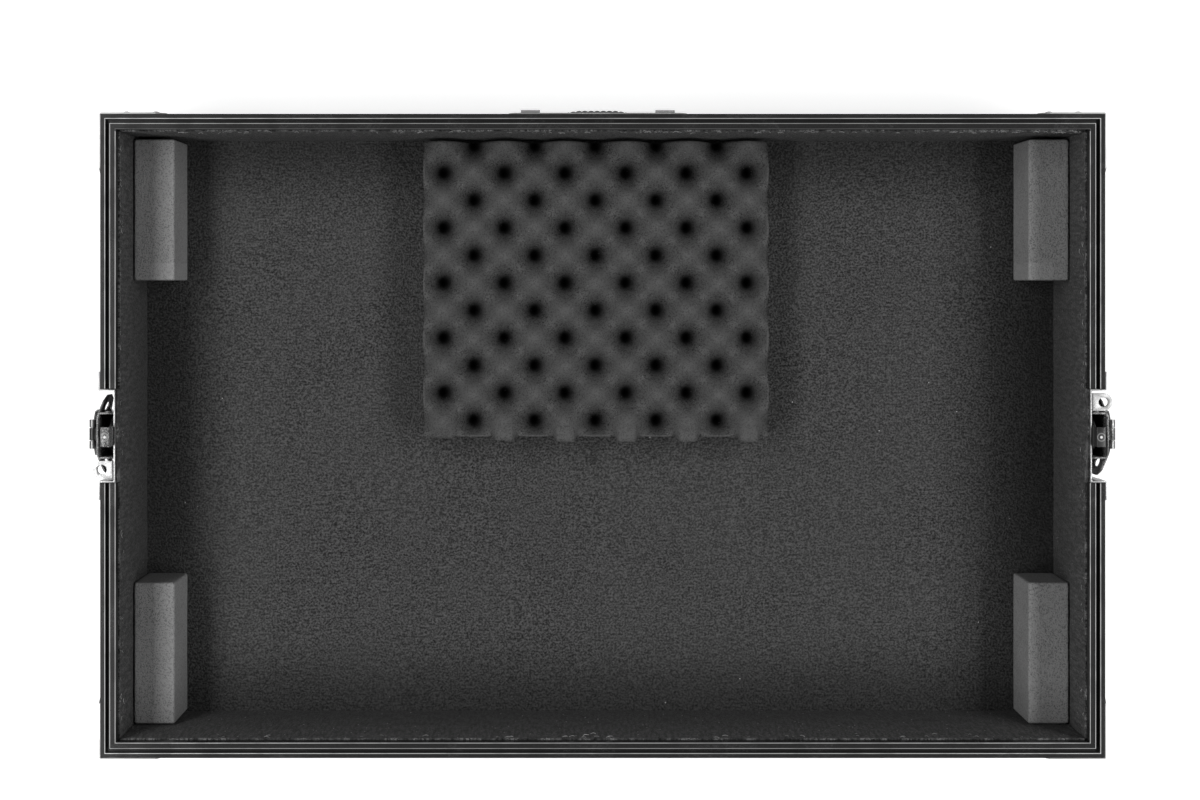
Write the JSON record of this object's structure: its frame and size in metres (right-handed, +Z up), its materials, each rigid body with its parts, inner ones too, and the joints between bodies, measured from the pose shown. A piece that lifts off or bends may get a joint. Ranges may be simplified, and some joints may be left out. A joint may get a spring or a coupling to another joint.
{
  "type": "flight case base",
  "caption": "Open base tray of a lift-off-lid flight case for a DJ controller, with grooved rim, foam inserts, twist latches with padlock eyes and a drop handle.",
  "frame": {"origin": "on the ground plane, under the middle of the case body", "axes": "+X along the long side, +Y towards the handle, +Z up through the open top"},
  "size_m": [0.7454, 0.4752, 0.134],
  "materials": {
    "laminate": "satin",
    "felt": "matte",
    "grey_foam": "matte",
    "black_foam": "matte",
    "black_extrusion": "satin",
    "foot_rubber": "matte",
    "grip_rubber": "matte",
    "dark_steel": "satin",
    "latch_steel": "satin",
    "zinc_steel": "satin"
  },
  "bodies": {
    "case": {"egg_crate_pad": "black_foam", "floor_lining": "felt", "floor_panel": "laminate", "foot_screws": "zinc_steel", "front_bottom_angle": "black_extrusion", "front_panel": "laminate", "front_rim": "black_extrusion", "handle_dish": "zinc_steel", "handle_springs": "zinc_steel", "left_bottom_angle": "black_extrusion", "left_front_ball_corner": "zinc_steel", "left_front_brace": "zinc_steel", "left_front_corner_angle": "black_extrusion", "left_front_foam_block": "grey_foam", "left_front_rim": "black_extrusion", "left_latch_cage": "dark_steel", "left_latch_cover": "dark_steel", "left_latch_dish": "zinc_steel", "left_padlock_eye": "zinc_steel", "left_panel": "laminate", "left_rear_ball_corner": "zinc_steel", "left_rear_brace": "zinc_steel", "left_rear_corner_angle": "black_extrusion", "left_rear_foam_block": "grey_foam", "left_rear_rim": "black_extrusion", "rear_bottom_angle": "black_extrusion", "rear_panel": "laminate", "rear_rim": "black_extrusion", "right_bottom_angle": "black_extrusion", "right_front_ball_corner": "zinc_steel", "right_front_brace": "zinc_steel", "right_front_corner_angle": "black_extrusion", "right_front_foam_block": "grey_foam", "right_front_rim": "black_extrusion", "right_latch_cage": "dark_steel", "right_latch_cover": "dark_steel", "right_latch_dish": "zinc_steel", "right_padlock_eye": "zinc_steel", "right_panel": "laminate", "right_rear_ball_corner": "zinc_steel", "right_rear_brace": "zinc_steel", "right_rear_corner_angle": "black_extrusion", "right_rear_foam_block": "grey_foam", "right_rear_rim": "black_extrusion", "rivets": "zinc_steel", "rubber_feet": "foot_rubber", "wall_lining": "felt"},
    "handle": {"handle_bail": "zinc_steel", "handle_grip": "grip_rubber"},
    "right_cam": {"right_latch_cam": "latch_steel", "right_wing_pin": "latch_steel"},
    "right_wing": {"right_latch_wing": "latch_steel"},
    "right_hook": {"right_latch_hook": "dark_steel"},
    "left_cam": {"left_latch_cam": "latch_steel", "left_wing_pin": "latch_steel"},
    "left_wing": {"left_latch_wing": "latch_steel"},
    "left_hook": {"left_latch_hook": "dark_steel"}
  },
  "joints": [
    {"name": "right_latch_turn", "type": "hinge", "parent": "case", "child": "right_cam", "pos_m": [0.3501, 0, 0.104], "axis": [1, 0, 0], "range_deg": [0, 180]},
    {"name": "right_wing_fold", "type": "hinge", "parent": "right_cam", "child": "right_wing", "pos_m": [0.3695, 0, 0.104], "axis": [0, -1, 0], "range_deg": [0, 90]},
    {"name": "right_hook_slide", "type": "slide", "parent": "case", "child": "right_hook", "axis": [0, 0, 1], "range_m": [-0.0081, 0]},
    {"name": "left_latch_turn", "type": "hinge", "parent": "case", "child": "left_cam", "pos_m": [-0.3501, 0, 0.104], "axis": [-1, 0, 0], "range_deg": [0, 180]},
    {"name": "left_wing_fold", "type": "hinge", "parent": "left_cam", "child": "left_wing", "pos_m": [-0.3695, 0, 0.104], "axis": [0, 1, 0], "range_deg": [0, 90]},
    {"name": "left_hook_slide", "type": "slide", "parent": "case", "child": "left_hook", "axis": [0, 0, 1], "range_m": [-0.0081, 0]},
    {"name": "handle_swing", "type": "hinge", "parent": "case", "child": "handle", "pos_m": [-0.003, 0.2307, 0.0834], "axis": [1, 0, 0], "range_deg": [0, 90]}
  ],
  "couplings": [
    {"joint": "right_hook_slide", "follows": "right_latch_turn", "m_per_rad": -0.0025465},
    {"joint": "left_hook_slide", "follows": "left_latch_turn", "m_per_rad": -0.0025465}
  ]
}
